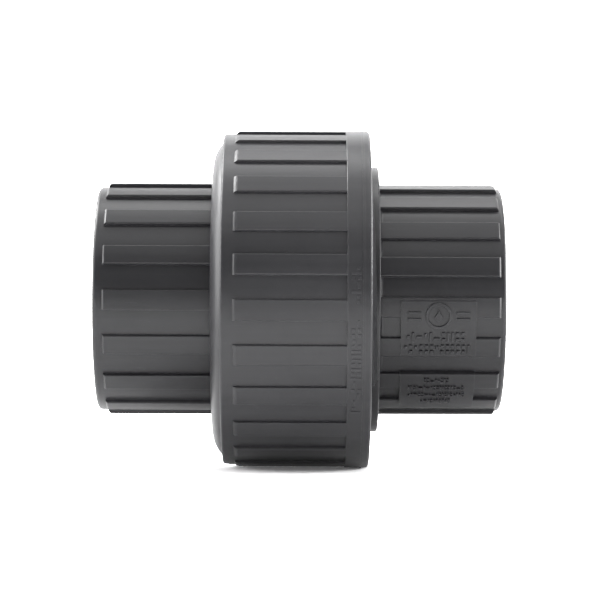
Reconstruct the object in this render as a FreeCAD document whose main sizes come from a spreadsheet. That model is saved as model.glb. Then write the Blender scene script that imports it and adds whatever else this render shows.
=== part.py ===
import FreeCAD, Part
import math
import os
import re
import Sketcher

# Pipe union with solvent-weld sockets: two ribbed end pieces drawn together by a threaded nut.
# X runs along the pipe, with 0 at mid-length on the axis, and Z is up.
# The tailpiece is on the left; the threaded body, with its O-ring, is on the right.

V = FreeCAD.Vector

# Driving sizes: millimetres, degrees or a plain count.
SIZES = {
    # pipe sockets and the way through
    "socket_bore": 26.87,
    "socket_depth": 25.4,
    "entry_chamfer": 0.6,
    "barrel_wall": 4.105,
    "waterway_bore": 20.0,
    "tail_web": 2.9,
    "body_web": 9.2,
    "face_gap": 0.1,
    "end_round": 0.7,
    # grip ribs on the two barrels
    "barrel_rib_height": 0.6,
    "barrel_rib_round": 0.2,
    "rib_end_slope": 0.4,
    "rib_end_radius": 0.6,
    "rib_root": 0.5,
    "trim_skin": 0.02,
    "tail_rib_count": 16,
    "tail_rib_width": 3.05,
    "tail_rib_margin": 1.5,
    "tail_rib_turn": 0.6,
    "body_rib_count": 18,
    "body_rib_width": 3.1,
    "body_rib_margin": 0.9,
    "body_rib_turn": 3.8,
    # the two marking plates
    "plate_rise": 0.22,
    "plate_margin": 4.7,
    "plate_length": 11.4,
    "plate_span": 27.5,
    "plate_turn": 194.2,
    "plate_step": 38.0,
    "plate_count": 2,
    # tailpiece flange
    "flange_thickness": 6.6,
    "flange_clearance": 0.3,
    "flange_round": 0.4,
    # threaded core and its collar
    "core_step": 2.71,
    "core_length": 15.35,
    "collar_round": 0.3,
    "collar_fillet": 0.6,
    # thread
    "thread_pitch": 3.0,
    "thread_height": 1.8,
    "thread_flank": 20.0,
    "thread_clearance": 0.25,
    "flank_clearance": 0.2,
    "thread_start": 0.05,
    "thread_end_gap": 0.3,
    "thread_lead": 0.3,
    "groove_lead_turns": 1.0,
    # O-ring and its groove
    "seal_land": 3.0,
    "seal_groove_width": 3.4,
    "seal_groove_depth": 2.0,
    "ring_flat": 1.2,
    "ring_stand_off": 0.05,
    "ring_bulge_share": 0.52,
    # union nut
    "nut_wall": 3.1,
    "lip_thickness": 3.6,
    "lip_gap": 0.1,
    "lip_clearance": 0.3,
    "lip_chamfer": 0.25,
    "collar_showing": 1.35,
    "nut_face_drop": 5.0,
    "shoulder_radius": 5.1,
    "shoulder_length": 1.6,
    "shoulder_drop": 1.3,
    "shoulder_round": 0.45,
    "nut_rib_count": 24,
    "nut_rib_width": 3.2,
    "nut_rib_height": 0.45,
    "nut_rib_round": 0.18,
    "nut_rib_start": 3.5,
    "nut_rib_end_slope": 0.85,
    "nut_rib_end_radius": 1.0,
    "nut_rib_turn": 3.6,
    "band_width": 3.8,
    "band_round": 0.5,
    "band_rise": 0.06,
    "bead_place": 1.1,
    "bead_width": 0.3,
    "bead_height": 0.1,
    "mouth_margin": 0.3,
}

# Places and radii that follow from the sizes.
FORMULAS = {
    "length": "2 * socket_depth + tail_web + face_gap + body_web",
    "left_end": "-length / 2",
    "right_end": "length / 2",
    "tail_stop": "left_end + socket_depth",
    "flange_face": "tail_stop + tail_web",
    "flange_back": "flange_face - flange_thickness",
    "body_face": "flange_face + face_gap",
    "body_stop": "right_end - socket_depth",
    "collar_face": "body_face + core_length",
    "bore_radius": "socket_bore / 2",
    "waterway_radius": "waterway_bore / 2",
    "barrel_radius": "bore_radius + barrel_wall",
    "barrel_rib_radius": "barrel_radius + barrel_rib_height",
    "tail_rib_start": "left_end + tail_rib_margin",
    "body_rib_end": "right_end - body_rib_margin",
    "plate_radius": "barrel_rib_radius + plate_rise",
    "plate_width": "2 * plate_radius * sin(plate_span / 2 * 1 deg)",
    "plate_end": "right_end - plate_margin",
    "core_radius": "barrel_rib_radius + core_step",
    "crest_radius": "core_radius + thread_height",
    "middle_radius": "core_radius + thread_height / 2",
    "flange_radius": "nut_minor_radius - flange_clearance",
    "nut_minor_radius": "core_radius + thread_clearance",
    "nut_root_radius": "crest_radius + thread_clearance",
    "nut_radius": "nut_root_radius + nut_wall",
    "nut_rib_radius": "nut_radius + nut_rib_height",
    "band_radius": "nut_rib_radius + band_rise",
    "bead_radius": "band_radius + bead_height",
    "lip_hole_radius": "barrel_rib_radius + lip_clearance",
    "lip_face": "flange_back - lip_gap",
    "nut_left": "lip_face - lip_thickness",
    "nut_right": "collar_face - collar_showing",
    "shoulder_end": "nut_left + shoulder_length",
    "nut_rib_left": "nut_left + nut_rib_start",
    "band_start": "nut_right - band_width",
    "bead_end": "nut_right - bead_place",
    "mouth_radius": "nut_root_radius + mouth_margin",
    "mouth_depth": "mouth_radius - nut_minor_radius",
    "ridge_half": "thread_pitch / 4 - flank_clearance / 2",
    "flank_run": "thread_height / 2 * tan(thread_flank * 1 deg)",
    "ridge_foot": "ridge_half + flank_run",
    "ridge_middle": "body_face + thread_start + ridge_foot",
    "ridge_turns": "(collar_face - thread_end_gap - ridge_foot - ridge_middle) / thread_pitch",
    "groove_middle": "ridge_middle - groove_lead_turns * thread_pitch",
    "groove_half": "ridge_half + flank_clearance",
    "groove_tip": "groove_half - (nut_root_radius - middle_radius) * tan(thread_flank * 1 deg)",
    "groove_mouth": "groove_half + (middle_radius - core_radius) * tan(thread_flank * 1 deg)",
    "groove_turns": "(nut_right - groove_middle) / thread_pitch + 1",
    "seal_groove_inner": "waterway_radius + seal_land",
    "seal_groove_outer": "seal_groove_inner + seal_groove_width",
    "seal_middle": "(seal_groove_inner + seal_groove_outer) / 2",
    "seal_groove_bottom": "body_face + seal_groove_depth",
    "ring_left": "flange_face + ring_stand_off",
    "ring_bulge_radius": "ring_bulge_share * (seal_groove_bottom - ring_left)",
}

CONVEX, CONCAVE = 1, -1     # which way an arc bows on an outline drawn clockwise

doc = FreeCAD.newDocument("pipe_union")
sheet = doc.addObject("Spreadsheet::Sheet", "Sizes")
for row, (alias, size) in enumerate(SIZES.items(), start=1):
    sheet.set(f"A{row}", alias)
    sheet.set(f"B{row}", str(size))
    sheet.setAlias(f"B{row}", alias)
doc.recompute()


def formula(text):
    """Write a formula in terms of the sheet's cells."""
    def swap(match):
        word = match.group(0)
        if word in FORMULAS:
            return f"({formula(FORMULAS[word])})"
        return f"Sizes.{word}" if word in SIZES else word
    return re.sub(r"[a-z_]+", swap, text)


def value_of(text):
    """The number that a formula gives now."""
    found = sheet.evalExpression(formula(text))
    return float(getattr(found, "Value", found))


def new_body(label):
    body = doc.addObject("PartDesign::Body", label)
    body.Label = label
    body.Placement = FreeCAD.Placement()
    return body


def new_sketch(body, name, role, offset="0", turn="0"):
    """A sketch on one of the body's own planes, moved along its normal and turned about it."""
    sketch = body.newObject("Sketcher::SketchObject", name)
    plane = next(item for item in body.Origin.OriginFeatures if item.Role == role)
    sketch.AttachmentSupport = [(plane, "")]
    sketch.MapMode = "FlatFace"
    sketch.setExpression("AttachmentOffset.Base.z", formula(offset))
    sketch.setExpression("AttachmentOffset.Rotation.Angle", formula(turn))
    return sketch


def bowed_piece(start, end, radius, bow):
    """The short arc of this radius from start to end, bowed to the left of the way or to the right."""
    way = end - start
    left = V(-way.y, way.x, 0).normalize()
    reach = math.sqrt(radius ** 2 - (way.Length / 2) ** 2)
    crown = (start + end) / 2 + left * (bow * (radius - reach))
    return Part.ArcOfCircle(start, crown, end)


def bind(sketch, constraint, text):
    number = sketch.addConstraint(constraint)
    sketch.setExpression(f"Constraints[{number}]", formula(text))


def draw_outline(sketch, corners):
    """Close a loop. A corner (x, y) is left on a line, and (x, y, radius, bow) on an arc."""
    points = [V(value_of(corner[0]), value_of(corner[1]), 0) for corner in corners]
    pieces = []
    for start, end, corner in zip(points, points[1:] + points[:1], corners):
        if len(corner) == 4:
            piece = bowed_piece(start, end, value_of(corner[2]), corner[3])
        else:
            piece = Part.LineSegment(start, end)
        number = sketch.addGeometry(piece)
        begins_here = sketch.getPoint(number, 1).isEqual(start, 1e-6)
        pieces.append((number, 1, 2) if begins_here else (number, 2, 1))
    for (here, _, last), (after, after_first, _) in zip(pieces, pieces[1:] + pieces[:1]):
        sketch.addConstraint(Sketcher.Constraint("Coincident", here, last, after, after_first))
    for (here, first, _), point, corner in zip(pieces, points, corners):
        bind(sketch, Sketcher.Constraint("DistanceX", -1, 1, here, first, point.x), corner[0])
        bind(sketch, Sketcher.Constraint("DistanceY", -1, 1, here, first, point.y), corner[1])
        if len(corner) == 4:
            radius = value_of(corner[2])
            bind(sketch, Sketcher.Constraint("Radius", here, radius), corner[2])


def turned(body, kind, name, corners):
    """Turn an outline of (x, radius) corners about the pipe's axis, to add or to cut."""
    sketch = new_sketch(body, name + "_outline", "XZ_Plane")
    draw_outline(sketch, corners)
    feature = body.newObject(kind, name)
    feature.Profile = sketch
    feature.ReferenceAxis = (sketch, ["H_Axis"])
    feature.Angle = 360
    doc.recompute()
    return feature


def coiled(body, kind, name, corners, turns):
    """Sweep an outline along a right-hand helix about the pipe's axis."""
    sketch = new_sketch(body, name + "_profile", "XZ_Plane")
    draw_outline(sketch, corners)
    feature = body.newObject(kind, name)
    feature.Profile = sketch
    feature.ReferenceAxis = (sketch, ["H_Axis"])
    feature.Mode = "pitch-turns-angle"
    feature.setExpression("Pitch", formula("thread_pitch"))
    feature.setExpression("Turns", formula(turns))
    feature.LeftHanded = False
    doc.recompute()
    return feature


def bar(body, name, base, top, width, corner, start, end, turn):
    """A bar along X with a crest that follows its cylinder and rounded edges."""
    half = f"{width} / 2"
    edge = f"({half} - {corner})"
    crown = f"sqrt({top}^2 - {edge}^2)"
    sketch = new_sketch(body, name + "_section", "YZ_Plane", offset=start, turn=turn)
    draw_outline(sketch, [
        (f"{base} - rib_root", half),
        (f"{crown} - {corner}", half, corner, CONVEX),
        (crown, edge, top, CONVEX),
        (crown, f"-{edge}", corner, CONVEX),
        (f"{crown} - {corner}", f"-{half}"),
        (f"{base} - rib_root", f"-{half}"),
    ])
    feature = body.newObject("PartDesign::Pad", name)
    feature.Profile = sketch
    feature.setExpression("Length", formula(f"{end} - {start}"))
    doc.recompute()
    return feature


def ringed(body, feature, count, angle="360"):
    """Repeat a bar round the axis."""
    pattern = body.newObject("PartDesign::PolarPattern", feature.Name + "_ring")
    pattern.Originals = [feature]
    pattern.Axis = (feature.Profile[0], ["N_Axis"])
    pattern.setExpression("Angle", formula(angle))
    pattern.setExpression("Occurrences", formula(count))
    body.Tip = pattern
    doc.recompute()
    return pattern


def trimmed_left(body, name, base, top, start, slope="rib_end_slope", radius="rib_end_radius"):
    """Round off the left ends of a ring of ribs."""
    turned(body, "PartDesign::Groove", name, [
        (f"{start} - rib_root", f"{base} + trim_skin"),
        (f"{start} - rib_root", f"{top} + rib_root"),
        (f"{start} + {slope}", f"{top} + rib_root"),
        (f"{start} + {slope}", f"{top} + trim_skin", radius, CONCAVE),
        (start, f"{base} + trim_skin"),
    ])


def trimmed_right(body, name, base, top, end):
    """Round off the right ends of a ring of ribs."""
    turned(body, "PartDesign::Groove", name, [
        (f"{end} - rib_end_slope", f"{top} + rib_root"),
        (f"{end} + rib_root", f"{top} + rib_root"),
        (f"{end} + rib_root", f"{base} + trim_skin"),
        (end, f"{base} + trim_skin", "rib_end_radius", CONCAVE),
        (f"{end} - rib_end_slope", f"{top} + trim_skin"),
    ])


def make_tailpiece():
    body = new_body("tailpiece")
    turned(body, "PartDesign::Revolution", "tail_shell", [
        ("left_end", "bore_radius + entry_chamfer"),
        ("left_end", "barrel_radius - end_round", "end_round", CONVEX),
        ("left_end + end_round", "barrel_radius"),
        ("flange_back", "barrel_radius"),
        ("flange_back", "flange_radius - flange_round", "flange_round", CONVEX),
        ("flange_back + flange_round", "flange_radius"),
        ("flange_face - flange_round", "flange_radius", "flange_round", CONVEX),
        ("flange_face", "flange_radius - flange_round"),
        ("flange_face", "waterway_radius"),
        ("tail_stop", "waterway_radius"),
        ("tail_stop", "bore_radius"),
        ("left_end + entry_chamfer", "bore_radius"),
    ])
    rib = bar(body, "tail_rib", "barrel_radius", "barrel_rib_radius", "tail_rib_width",
              "barrel_rib_round", "tail_rib_start", "(flange_back + rib_root)", "tail_rib_turn")
    ringed(body, rib, "tail_rib_count")
    trimmed_left(body, "tail_rib_ends", "barrel_radius", "barrel_rib_radius", "tail_rib_start")
    return body


def make_threaded_body():
    body = new_body("threaded_body")
    turned(body, "PartDesign::Revolution", "body_shell", [
        ("body_face", "waterway_radius"),
        ("body_face", "seal_groove_inner"),
        ("seal_groove_bottom", "seal_groove_inner"),
        ("seal_groove_bottom", "seal_groove_outer"),
        ("body_face", "seal_groove_outer"),
        ("body_face", "core_radius"),
        ("collar_face - collar_round", "core_radius", "collar_round", CONVEX),
        ("collar_face", "core_radius - collar_round"),
        ("collar_face", "barrel_radius + collar_fillet", "collar_fillet", CONCAVE),
        ("collar_face + collar_fillet", "barrel_radius"),
        ("right_end - end_round", "barrel_radius", "end_round", CONVEX),
        ("right_end", "barrel_radius - end_round"),
        ("right_end", "bore_radius + entry_chamfer"),
        ("right_end - entry_chamfer", "bore_radius"),
        ("body_stop", "bore_radius"),
        ("body_stop", "waterway_radius"),
    ])
    rib = bar(body, "body_rib", "barrel_radius", "barrel_rib_radius", "body_rib_width",
              "barrel_rib_round", "(collar_face - rib_root)", "body_rib_end", "body_rib_turn")
    ringed(body, rib, "body_rib_count")
    trimmed_right(body, "body_rib_ends", "barrel_radius", "barrel_rib_radius", "body_rib_end")
    plate = bar(body, "marking_plate", "barrel_radius", "plate_radius", "plate_width",
                "barrel_rib_round", "(plate_end - plate_length)", "plate_end", "plate_turn")
    ringed(body, plate, "plate_count", "plate_step")
    coiled(body, "PartDesign::AdditiveHelix", "male_thread", [
        ("ridge_middle - ridge_foot", "core_radius - rib_root"),
        ("ridge_middle - ridge_foot", "core_radius"),
        ("ridge_middle - ridge_half + flank_run", "crest_radius"),
        ("ridge_middle + ridge_half - flank_run", "crest_radius"),
        ("ridge_middle + ridge_foot", "core_radius"),
        ("ridge_middle + ridge_foot", "core_radius - rib_root"),
    ], "ridge_turns")
    turned(body, "PartDesign::Groove", "thread_lead_in", [
        ("body_face - rib_root", "core_radius + trim_skin"),
        ("body_face - rib_root", "crest_radius + rib_root"),
        ("body_face + thread_lead + thread_height + rib_root", "crest_radius + rib_root"),
        ("body_face + thread_lead", "core_radius + trim_skin"),
    ])
    return body


def make_o_ring():
    """The seal as it sits when squeezed: flat where it is pressed, bulged inside and outside."""
    body = new_body("o_ring")
    turned(body, "PartDesign::Revolution", "ring", [
        ("ring_left", "seal_middle - ring_flat / 2"),
        ("ring_left", "seal_middle + ring_flat / 2", "ring_bulge_radius", CONVEX),
        ("seal_groove_bottom", "seal_middle + ring_flat / 2"),
        ("seal_groove_bottom", "seal_middle - ring_flat / 2", "ring_bulge_radius", CONVEX),
    ])
    return body


def make_union_nut():
    body = new_body("union_nut")
    turned(body, "PartDesign::Revolution", "nut_shell", [
        ("nut_left", "lip_hole_radius + lip_chamfer"),
        ("nut_left", "nut_radius - nut_face_drop", "shoulder_radius", CONVEX),
        ("shoulder_end", "nut_radius - shoulder_drop"),
        ("shoulder_end", "nut_radius - shoulder_round", "shoulder_round", CONVEX),
        ("shoulder_end + shoulder_round", "nut_radius"),
        ("band_start", "nut_radius"),
        ("band_start", "band_radius - nut_rib_round", "nut_rib_round", CONVEX),
        ("band_start + nut_rib_round", "band_radius"),
        ("bead_end - bead_width", "band_radius"),
        ("bead_end - bead_width", "bead_radius"),
        ("bead_end", "bead_radius"),
        ("bead_end", "band_radius"),
        ("nut_right - band_round", "band_radius", "band_round", CONVEX),
        ("nut_right", "band_radius - band_round"),
        ("nut_right", "mouth_radius"),
        ("nut_right - mouth_depth", "nut_minor_radius"),
        ("lip_face", "nut_minor_radius"),
        ("lip_face", "lip_hole_radius"),
        ("nut_left + lip_chamfer", "lip_hole_radius"),
    ])
    rib = bar(body, "nut_rib", "nut_radius", "nut_rib_radius", "nut_rib_width",
              "nut_rib_round", "nut_rib_left", "(band_start + rib_root)", "nut_rib_turn")
    ringed(body, rib, "nut_rib_count")
    trimmed_left(body, "nut_rib_ends", "nut_radius", "nut_rib_radius", "nut_rib_left",
                 "nut_rib_end_slope", "nut_rib_end_radius")
    coiled(body, "PartDesign::SubtractiveHelix", "nut_thread", [
        ("groove_middle - groove_mouth", "core_radius"),
        ("groove_middle - groove_tip", "nut_root_radius"),
        ("groove_middle + groove_tip", "nut_root_radius"),
        ("groove_middle + groove_mouth", "core_radius"),
    ], "groove_turns")
    return body


pieces = [make_tailpiece(), make_threaded_body(), make_o_ring(), make_union_nut()]
doc.recompute()

for item in doc.Objects:
    if {"Invalid", "Error"} & set(item.State):
        raise RuntimeError(f"{item.Label} failed: {item.State}")
os.makedirs("parts", exist_ok=True)
for piece in pieces:
    shape = piece.Shape
    if shape.isNull() or not shape.isValid() or len(shape.Solids) != 1:
        raise RuntimeError(f"{piece.Label} is not one valid solid")
    shape.exportStep(os.path.join("parts", piece.Label + ".step"))
    print(piece.Label, "volume", round(shape.Volume, 1), "faces", len(shape.Faces))
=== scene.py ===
import bpy
import bmesh
import math
import random
from mathutils import Matrix, Vector


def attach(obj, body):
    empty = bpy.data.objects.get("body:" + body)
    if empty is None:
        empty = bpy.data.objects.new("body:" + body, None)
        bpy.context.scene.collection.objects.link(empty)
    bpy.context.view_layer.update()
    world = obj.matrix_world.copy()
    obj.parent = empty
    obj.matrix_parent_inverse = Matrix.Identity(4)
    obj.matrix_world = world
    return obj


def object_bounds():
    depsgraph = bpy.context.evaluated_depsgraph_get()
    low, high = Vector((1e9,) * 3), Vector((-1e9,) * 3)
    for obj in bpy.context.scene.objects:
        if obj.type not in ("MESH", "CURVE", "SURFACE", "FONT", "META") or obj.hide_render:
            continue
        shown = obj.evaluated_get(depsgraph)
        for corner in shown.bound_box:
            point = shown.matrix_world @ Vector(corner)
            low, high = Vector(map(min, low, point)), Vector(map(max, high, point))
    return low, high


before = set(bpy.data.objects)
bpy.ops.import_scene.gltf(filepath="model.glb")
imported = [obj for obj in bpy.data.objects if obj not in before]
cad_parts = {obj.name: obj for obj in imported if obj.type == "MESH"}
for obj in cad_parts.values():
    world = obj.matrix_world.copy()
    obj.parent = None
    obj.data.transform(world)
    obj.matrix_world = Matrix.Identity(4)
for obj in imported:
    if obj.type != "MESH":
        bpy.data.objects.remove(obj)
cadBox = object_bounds()
mm = 0.001
print("frame loaded:", ", ".join(sorted(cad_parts)))

# studio: a long lens square to the side, soft boxes and a white sweep
studio = {
    "distance": 0.420,          # camera to the pipe's axis
    "lens": 159.5,
    "roll": 0.25,               # degrees, right-hand end low
    "shiftX": 0.001,
    "shiftY": -0.0013,
    "worldLight": 0.17,
    "paper": 0.80,
    "paperSeen": 3.2,           # how bright the sheet looks, well past white
    "paperGlint": 0.12,         # how much of that the gloss picks up
    "paperGlow": 0.06,
    "front": 1.6,
    "back": 0.9,
    "width": 3.0,
    "height": 1.6,
    "bend": 0.35,
    "bendSteps": 16,
}

softBoxes = {
    # place, aim, width, depth, watts
    "overheadBox": ((0.0, -0.15, 0.75), (0.0, 0.0, 0.0), 1.20, 1.00, 3.8),
    "leftBox": ((-0.95, 0.15, 0.15), (0.0, 0.0, 0.0), 0.70, 0.60, 7.0),
    "leftBackBox": ((-0.60, 0.36, 0.56), (0.0, 0.0, 0.0), 0.50, 0.40, 7.0),
    "rightBox": ((0.95, 0.20, 0.12), (0.0, 0.0, 0.0), 0.90, 0.60, 14.0),
    "backBox": ((0.0, 0.35, 0.95), (0.0, 0.90, 0.25), 1.60, 0.50, 9.0),
}


def addToScene(piece):
    bpy.context.scene.collection.objects.link(piece)
    return piece


def makeCamera():
    lens = bpy.data.cameras.new("camera")
    lens.lens = studio["lens"]
    lens.sensor_width = 36.0
    lens.shift_x = studio["shiftX"]
    lens.shift_y = studio["shiftY"]
    lens.clip_start = 0.01
    lens.clip_end = 20.0
    camera = addToScene(bpy.data.objects.new("camera", lens))
    level = Matrix.Rotation(math.radians(90), 4, "X")
    roll = Matrix.Rotation(math.radians(studio["roll"]), 4, "Z")
    camera.matrix_world = Matrix.Translation((0, -studio["distance"], 0)) @ level @ roll
    bpy.context.scene.camera = camera


def makeLights():
    for name, (place, aim, width, depth, watts) in softBoxes.items():
        lamp = bpy.data.lights.new(name, "AREA")
        lamp.shape = "RECTANGLE"
        lamp.size = width
        lamp.size_y = depth
        lamp.energy = watts
        box = addToScene(bpy.data.objects.new(name, lamp))
        way = Vector(aim) - Vector(place)
        box.matrix_world = Matrix.Translation(place) @ way.to_track_quat("-Z", "Y").to_matrix().to_4x4()
    world = bpy.data.worlds.new("studioAir")
    world.use_nodes = True
    world.node_tree.nodes["Background"].inputs["Color"].default_value = (1, 1, 1, 1)
    world.node_tree.nodes["Background"].inputs["Strength"].default_value = studio["worldLight"]
    bpy.context.scene.world = world


def makePaper():
    paper = bpy.data.materials.new("sweepPaper")
    paper.use_nodes = True
    tree = paper.node_tree
    tree.nodes.clear()
    lit, seen = [
        addNode(tree, "ShaderNodeBsdfDiffuse", {}, {"Color": (*[studio[shade]] * 3, 1)}).outputs[0]
        for shade in ("paper", "paperSeen")]
    glow = addNode(tree, "ShaderNodeEmission", {}, {"Strength": studio["paperGlow"]}).outputs[0]
    path = tree.nodes.new("ShaderNodeLightPath").outputs
    glint = addMath(tree, "MULTIPLY", path["Is Glossy Ray"], studio["paperGlint"])
    share = addMath(tree, "ADD", path["Is Camera Ray"], glint)
    sheet = addNode(tree, "ShaderNodeMixShader", {}, {0: share, 1: lit, 2: seen}).outputs[0]
    both = addNode(tree, "ShaderNodeAddShader", {}, {0: sheet, 1: glow}).outputs[0]
    addNode(tree, "ShaderNodeOutputMaterial", {}, {"Surface": both})
    return paper


def makeSweep(floorZ):
    paper = bmesh.new()
    half, bend = studio["width"] / 2, studio["bend"]
    turn = studio["back"] - bend
    line = [paper.verts.new((-half, -studio["front"], floorZ))]
    for step in range(studio["bendSteps"] + 1):
        angle = math.radians(90 * step / studio["bendSteps"])
        depth, lift = turn + bend * math.sin(angle), bend * (1 - math.cos(angle))
        line.append(paper.verts.new((-half, depth, floorZ + lift)))
    line.append(paper.verts.new((-half, studio["back"], floorZ + studio["height"])))
    edges = [paper.edges.new(pair) for pair in zip(line, line[1:])]
    grown = bmesh.ops.extrude_edge_only(paper, edges=edges)["geom"]
    moved = [item for item in grown if isinstance(item, bmesh.types.BMVert)]
    bmesh.ops.translate(paper, verts=moved, vec=(2 * half, 0, 0))
    mesh = bpy.data.meshes.new("studioSweep")
    paper.to_mesh(mesh)
    paper.free()
    mesh.shade_smooth()
    mesh.materials.append(makePaper())
    addToScene(bpy.data.objects.new("studioSweep", mesh))


# node groups and the finishes that use them
def newGroup(name, inputs, outputs):
    group = bpy.data.node_groups.new(name, "ShaderNodeTree")
    for label, value in inputs.items():
        socket = group.interface.new_socket(label, in_out="INPUT", socket_type="NodeSocketFloat")
        socket.default_value = value
    for label in outputs:
        group.interface.new_socket(label, in_out="OUTPUT", socket_type="NodeSocketFloat")
    entry = group.nodes.new("NodeGroupInput")
    leave = group.nodes.new("NodeGroupOutput")
    return group, entry.outputs, leave.inputs


def addNode(tree, kind, settings=None, values=None):
    node = tree.nodes.new(kind)
    for key, value in (settings or {}).items():
        setattr(node, key, value)
    for key, value in (values or {}).items():
        if isinstance(value, bpy.types.NodeSocket):
            tree.links.new(value, node.inputs[key])
        else:
            node.inputs[key].default_value = value
    return node


def addMath(tree, operation, first, second):
    return addNode(tree, "ShaderNodeMath", {"operation": operation}, {0: first, 1: second}).outputs[0]


def addRemap(tree, value, low, high, newLow, newHigh):
    ends = {0: value, 1: low, 2: high, 3: newLow, 4: newHigh}
    return addNode(tree, "ShaderNodeMapRange", {}, ends).outputs[0]


def addNoise(tree, stretch, scale, detail, roughness=0.5):
    place = tree.nodes.new("ShaderNodeTexCoord").outputs["Object"]
    mapping = addNode(tree, "ShaderNodeMapping", {}, {"Vector": place, "Scale": stretch})
    noise = addNode(tree, "ShaderNodeTexNoise", {}, {
        "Vector": mapping.outputs[0], "Scale": scale, "Detail": detail, "Roughness": roughness})
    return noise.outputs[0]


# grain, draw streaks along the pipe and broad clouding of a moulded skin
def makeMouldSkin():
    group, given, result = newGroup(
        "mouldSkin", {"Grain Scale": 2600.0, "Streak Scale": 900.0, "Cloud Scale": 70.0},
        ["Tone", "Polish", "Relief"])
    grain = addNoise(group, (1, 1, 1), given["Grain Scale"], 3.0)
    streak = addNoise(group, (0.035, 1, 1), given["Streak Scale"], 4.0, 0.6)
    cloud = addNoise(group, (0.6, 1, 1), given["Cloud Scale"], 3.0)
    streakTone = addRemap(group, streak, 0.30, 0.70, -0.5, 0.5)
    cloudTone = addRemap(group, cloud, 0.30, 0.70, -0.5, 0.5)
    tone = addMath(group, "ADD", addMath(group, "MULTIPLY", streakTone, 0.5), cloudTone)
    polish = addMath(group, "ADD", streakTone, addRemap(group, grain, 0.35, 0.65, -0.35, 0.35))
    relief = addMath(group, "ADD", addMath(group, "MULTIPLY", grain, 0.6), streak)
    group.links.new(tone, result["Tone"])
    group.links.new(polish, result["Polish"])
    group.links.new(relief, result["Relief"])
    return group


# a mask of rubbed arrises, partly real wear and partly a painted highlight along every edge, broken up by
# a blotchy noise
def makeEdgeWearAndHighlight():
    group, given, result = newGroup("edgeWearAndHighlight", {"Radius": 0.3 * mm, "Break Scale": 500.0}, ["Mask"])
    rounded = addNode(group, "ShaderNodeBevel", {"samples": 6}, {"Radius": given["Radius"]})
    plain = group.nodes.new("ShaderNodeNewGeometry")
    dot = addNode(group, "ShaderNodeVectorMath", {"operation": "DOT_PRODUCT"},
                  {0: rounded.outputs[0], 1: plain.outputs["Normal"]})
    edge = addRemap(group, dot.outputs["Value"], 0.995, 0.90, 0.0, 1.0)
    patch = addRemap(group, addNoise(group, (1, 1, 1), given["Break Scale"], 3.0), 0.38, 0.62, 0.25, 1.0)
    group.links.new(addMath(group, "MULTIPLY", edge, patch), result["Mask"])
    return group


# faint handling scratches
def makeScuffs():
    group, given, result = newGroup(
        "scuffs", {"Scale": 240.0, "Patch Scale": 120.0, "Amount": 0.5}, ["Mask"])
    lines = addNoise(group, (0.25, 1.0, 7.0), given["Scale"], 2.0)
    offLine = addMath(group, "ABSOLUTE", addMath(group, "SUBTRACT", lines, 0.5), 0)
    thin = addRemap(group, offLine, 0.0, 0.008, 1.0, 0.0)
    where = addRemap(group, addNoise(group, (1, 1, 1), given["Patch Scale"], 2.0), 0.52, 0.66, 0.0, 1.0)
    mask = addMath(group, "MULTIPLY", addMath(group, "MULTIPLY", thin, where), given["Amount"])
    group.links.new(mask, result["Mask"])
    return group


def placeGroup(tree, group, values):
    return addNode(tree, "ShaderNodeGroup", {"node_tree": group}, values).outputs


def mixColor(tree, factor, first, second):
    node = addNode(tree, "ShaderNodeMix", {"data_type": "RGBA", "blend_type": "MIX"})
    for socket, value in ((node.inputs[0], factor), (node.inputs[6], first), (node.inputs[7], second)):
        if isinstance(value, bpy.types.NodeSocket):
            tree.links.new(value, socket)
        else:
            socket.default_value = (*value, 1)
    return node.outputs[2]


reliefDepth = 0.02 * mm
mouldSkin = makeMouldSkin()
edgeWearAndHighlight = makeEdgeWearAndHighlight()
scuffs = makeScuffs()


def makePvc(name, look):
    pvc = bpy.data.materials.new(name)
    pvc.use_nodes = True
    tree = pvc.node_tree
    shader = tree.nodes["Principled BSDF"]
    skin = placeGroup(tree, mouldSkin, {"Grain Scale": look["grain"], "Streak Scale": look["streak"]})
    wearAndHighlight = placeGroup(tree, edgeWearAndHighlight, {"Radius": look["wearAndHighlightRadius"]})["Mask"]
    scratch = placeGroup(tree, scuffs, {"Amount": look["scuff"]})["Mask"]
    tone = addRemap(tree, skin["Tone"], -0.6, 0.6, 0.0, 1.0)
    clouded = mixColor(tree, tone, look["dark"], look["light"])
    # edges painted paler: partly real wear, partly a painted highlight standing in for the glints along
    # the edges
    wearAndHighlightColour = mixColor(tree, addMath(tree, "MULTIPLY", wearAndHighlight, look["wearAndHighlight"]), clouded, look["paleWearAndHighlight"])
    marked = mixColor(tree, addMath(tree, "MULTIPLY", scratch, look["scuffPale"]), wearAndHighlightColour, look["paleWearAndHighlight"])
    tree.links.new(marked, shader.inputs["Base Color"])
    gloss = addRemap(tree, skin["Polish"], -0.8, 0.8,
                     look["roughness"] - look["polish"], look["roughness"] + look["polish"])
    gloss = addMath(tree, "ADD", gloss, addMath(tree, "MULTIPLY", scratch, look["scuffDull"]))
    gloss = addMath(tree, "SUBTRACT", gloss, addMath(tree, "MULTIPLY", wearAndHighlight, look["rubShine"]))
    tree.links.new(gloss, shader.inputs["Roughness"])
    bump = addNode(tree, "ShaderNodeBump", {}, {
        "Strength": look["bump"], "Distance": reliefDepth, "Height": skin["Relief"]})
    tree.links.new(bump.outputs[0], shader.inputs["Normal"])
    shader.inputs["IOR"].default_value = look["ior"]
    return pvc


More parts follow.
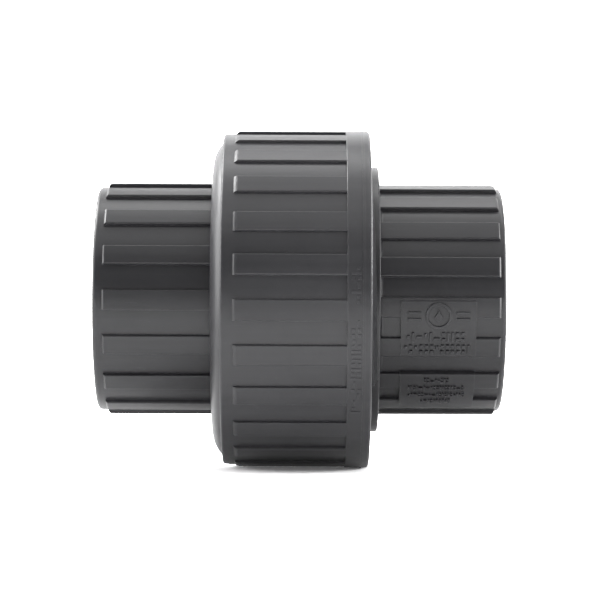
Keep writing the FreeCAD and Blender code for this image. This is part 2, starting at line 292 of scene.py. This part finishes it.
# the barrels' copy of the plastic, darkened to paint the shade they lie in beside the nut
barrelShadedPvcLook = {
    "dark": (0.029, 0.029, 0.032),
    "light": (0.043, 0.043, 0.047),
    # pale colour for scuffs and rubbed edges; on the edges it also paints a highlight
    "paleWearAndHighlight": (0.13, 0.13, 0.14),
    "wearAndHighlight": 0.35,
    "wearAndHighlightRadius": 0.3 * mm,
    "rubShine": 0.02,
    "polish": 0.03,
    "scuff": 0.25,
    "scuffDull": 0.04,
    "scuffPale": 0.5,
    "roughness": 0.35,
    "grain": 2600.0,
    "streak": 900.0,
    "bump": 0.5,
    "ior": 1.53,
}

# lit and shaded copies of one plastic: the nut's copy is a shade lighter, and the barrels' darker copy
# paints the shade that falls on them beside the nut
nutLitPvcLook = {
    **barrelShadedPvcLook,
    "dark": (0.043, 0.043, 0.047),
    "light": (0.061, 0.061, 0.066),
    "streak": 700.0,
}

rubberLook = {
    "color": (0.016, 0.016, 0.017),
    "bloom": (0.035, 0.035, 0.036),
    "roughness": 0.62,
    "polish": 0.08,
    "grain": 3400.0,
    "streak": 500.0,
    "bump": 0.6,
}


def makeRubber(name, look):
    rubber = bpy.data.materials.new(name)
    rubber.use_nodes = True
    tree = rubber.node_tree
    shader = tree.nodes["Principled BSDF"]
    skin = placeGroup(tree, mouldSkin, {"Grain Scale": look["grain"], "Streak Scale": look["streak"]})
    tone = addRemap(tree, skin["Tone"], -0.6, 0.6, 0.0, 1.0)
    tree.links.new(mixColor(tree, tone, look["color"], look["bloom"]), shader.inputs["Base Color"])
    gloss = addRemap(tree, skin["Polish"], -0.8, 0.8,
                     look["roughness"] - look["polish"], look["roughness"] + look["polish"])
    tree.links.new(gloss, shader.inputs["Roughness"])
    bump = addNode(tree, "ShaderNodeBump", {}, {
        "Strength": look["bump"], "Distance": reliefDepth, "Height": skin["Relief"]})
    tree.links.new(bump.outputs[0], shader.inputs["Normal"])
    return rubber


# raised marks: plain shapes laid flat as (along the pipe, around it, height), then wrapped on
def addBlock(shape, x, around, width, depth, rise, sunk):
    block = bmesh.ops.create_cube(shape, size=1.0)["verts"]
    bmesh.ops.scale(shape, verts=block, vec=(width, depth, rise + sunk))
    bmesh.ops.translate(shape, verts=block, vec=(x, around, (rise - sunk) / 2))


def addRing(shape, x, around, outer, inner, rise, sunk, steps):
    corners = [shape.verts.new((reach, 0, height)) for reach, height in
               ((inner, -sunk), (outer, -sunk), (outer, rise), (inner, rise))]
    section = [shape.edges.new(pair) for pair in zip(corners, corners[1:] + corners[:1])]
    before = set(shape.verts) - set(corners)
    bmesh.ops.spin(shape, geom=corners + section, cent=(0, 0, 0), axis=(0, 0, 1),
                   angle=math.radians(360), steps=steps, use_merge=True)
    ring = [vert for vert in shape.verts if vert not in before]
    bmesh.ops.translate(shape, verts=ring, vec=(x, around, 0))


def addDrop(shape, x, around, radius, rise, sunk):
    outline = bmesh.ops.create_circle(shape, cap_ends=True, radius=radius, segments=20)["verts"]
    face = outline[0].link_faces[0]
    for vert in outline:
        lift = max(0.0, -vert.co.y / radius)
        vert.co.x *= 1 - 0.75 * lift ** 1.5
        vert.co.y -= radius * 0.9 * lift ** 3
    top = bmesh.ops.extrude_face_region(shape, geom=[face])["geom"]
    raised = [item for item in top if isinstance(item, bmesh.types.BMVert)]
    bmesh.ops.translate(shape, verts=raised, vec=(0, 0, rise + sunk))
    bmesh.ops.translate(shape, verts=outline + raised, vec=(x, around, -sunk))


# a run of plain bars, dots and dashes
def addCodeRow(shape, row, look, dice):
    size = row["size"]
    place = -row["length"] / 2
    while place < row["length"] / 2 - size * 0.2:
        kind = dice.choice(("bar", "dot", "pair", "dash", "bar", "pair"))
        wide = size * {"bar": 0.24, "dot": 0.30, "pair": 0.34, "dash": 0.62}[kind]
        tall = size * {"bar": 1.0, "dot": 0.34, "pair": 0.36, "dash": 0.24}[kind]
        levels = (-0.32 * size, 0.32 * size) if kind == "pair" else (dice.choice((-0.2, 0.0, 0.2)) * size,)
        for level in levels if kind != "bar" else (0.0,):
            spot = (place + wide / 2, level)
            block = (wide, tall)
            if row["around"]:
                spot, block = (level, place + wide / 2), (tall, wide)
            addBlock(shape, row["x"] + spot[0], row["turn"] * look["radius"] + spot[1],
                     *block, look["rise"], look["sunk"])
        place += wide + size * 0.22


sharpAngle = 0.6        # radians


def softenTops(shape, offset):
    rims = [edge for edge in shape.edges
            if all(vert.co.z > 0 for vert in edge.verts) and edge.calc_face_angle(0) > sharpAngle]
    bmesh.ops.bevel(shape, geom=rims, offset=offset, offset_type="OFFSET", segments=2,
                    profile=0.5, affect="EDGES", material=-1)


def wrapOn(shape, radius):
    for vert in shape.verts:
        x, around, height = vert.co
        angle, reach = around / radius, radius + height
        vert.co = (x, -reach * math.cos(angle), -reach * math.sin(angle))
    bmesh.ops.recalc_face_normals(shape, faces=shape.faces)


def finishMarks(shape, name, body, finish):
    mesh = bpy.data.meshes.new(name)
    shape.to_mesh(mesh)
    shape.free()
    mesh.materials.append(finish)
    marks = addToScene(bpy.data.objects.new(name, mesh))
    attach(marks, body)


def turnRow(x, degrees, length, size, around=False):
    return {"x": x * mm, "turn": math.radians(degrees), "length": length * mm,
            "size": size * mm, "around": around}


plateMarks = {
    "radius": 18.36 * mm,
    "rise": 0.30 * mm,
    "sunk": 0.06 * mm,
    "soften": 0.06 * mm,
    "seed": 4,
    "emblem": (21.1 * mm, math.radians(7.6)),       # along the pipe, turn
    "ring": (2.0 * mm, 1.62 * mm),                  # outer, inner
    "ringSteps": 40,
    "drop": 0.62 * mm,
    "dropShift": 0.2 * mm,
    "wings": ((17.4, 6.2), (24.8, 6.2), (17.4, 9.2), (24.8, 9.2)),
    "wing": (2.0 * mm, 0.32 * mm),
    "rows": [
        turnRow(20.9, 17.8, 9.2, 1.45),
        turnRow(20.9, 24.0, 10.0, 1.45),
        turnRow(21.0, 42.0, 3.8, 0.85),
        turnRow(21.0, 47.0, 8.6, 0.85),
        turnRow(21.0, 52.2, 8.6, 0.85),
        turnRow(21.0, 57.6, 4.6, 0.85),
    ],
}

bandMarks = {
    "radius": 26.51 * mm,
    "rise": 0.10 * mm,
    "sunk": 0.05 * mm,
    "soften": 0.04 * mm,
    "seed": 9,
    "rows": [turnRow(8.5, 24.0, 16.0, 1.5, True), turnRow(8.5, -4.0, 6.0, 1.5, True)],
}


def makePlateMarks(look, finish):
    dice = random.Random(look["seed"])
    shape = bmesh.new()
    x, turn = look["emblem"]
    around = turn * look["radius"]
    addRing(shape, x, around, *look["ring"], look["rise"], look["sunk"], look["ringSteps"])
    addDrop(shape, x, around + look["dropShift"], look["drop"], look["rise"], look["sunk"])
    for wingX, wingTurn in look["wings"]:
        addBlock(shape, wingX * mm, math.radians(wingTurn) * look["radius"], *look["wing"],
                 look["rise"], look["sunk"])
    for row in look["rows"]:
        addCodeRow(shape, row, look, dice)
    softenTops(shape, look["soften"])
    wrapOn(shape, look["radius"])
    finishMarks(shape, "plateMarks", "threaded_body", finish)


def makeBandMarks(look, finish):
    dice = random.Random(look["seed"])
    shape = bmesh.new()
    for row in look["rows"]:
        addCodeRow(shape, row, look, dice)
    softenTops(shape, look["soften"])
    wrapOn(shape, look["radius"])
    finishMarks(shape, "bandMarks", "nut", finish)


# the thin witness lines that the mould's halves leave along each piece
partingLines = {
    "rise": 0.05 * mm,
    "sunk": 0.08 * mm,
    "wide": 0.16 * mm,
    "soften": 0.03 * mm,
    "tailpiece": {"body": "tailpiece", "slot": "tailpiece_plastic", "radius": 18.14 * mm,
                  "from": -29.4, "to": -13.9, "turns": (-89.4, 90.6)},
    "threadedBody": {"body": "threaded_body", "slot": "body_plastic", "radius": 17.54 * mm,
                     "from": 13.1, "to": 30.6, "turns": (-89.0, 91.0)},
    "unionNut": {"body": "nut", "slot": "nut_plastic", "radius": 26.0 * mm,
                 "from": -11.0, "to": 7.1, "turns": (-94.0, 86.0)},
}


def makePartingLines(name, look, finish):
    lines = look[name]
    shape = bmesh.new()
    middle, length = (lines["from"] + lines["to"]) / 2 * mm, (lines["to"] - lines["from"]) * mm
    for turn in lines["turns"]:
        addBlock(shape, middle, math.radians(turn) * lines["radius"], length, look["wide"],
                 look["rise"], look["sunk"])
    softenTops(shape, look["soften"])
    wrapOn(shape, lines["radius"])
    finishMarks(shape, name + "PartingLines", lines["body"], finish)


def finishFrame():
    finishes = {
        "tailpiece": makePvc("tailpiecePvc", barrelShadedPvcLook),
        "threaded_body": makePvc("threadedBodyPvc", barrelShadedPvcLook),
        "union_nut": makePvc("unionNutPvc", nutLitPvcLook),
        "o_ring": makeRubber("sealRubber", rubberLook),
    }
    for node, finish in finishes.items():
        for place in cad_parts[node].material_slots:
            place.material = finish
    return finishes


makeCamera()
makeLights()
makeSweep(cadBox[0].z)
print("studio ready")

finishes = finishFrame()
print("finishes on the frame ready")

makePlateMarks(plateMarks, finishes["threaded_body"])
makeBandMarks(bandMarks, finishes["union_nut"])
makePartingLines("tailpiece", partingLines, finishes["tailpiece"])
makePartingLines("threadedBody", partingLines, finishes["threaded_body"])
makePartingLines("unionNut", partingLines, finishes["union_nut"])
print("moulding marks ready")

bpy.context.scene.view_settings.view_transform = "Standard"
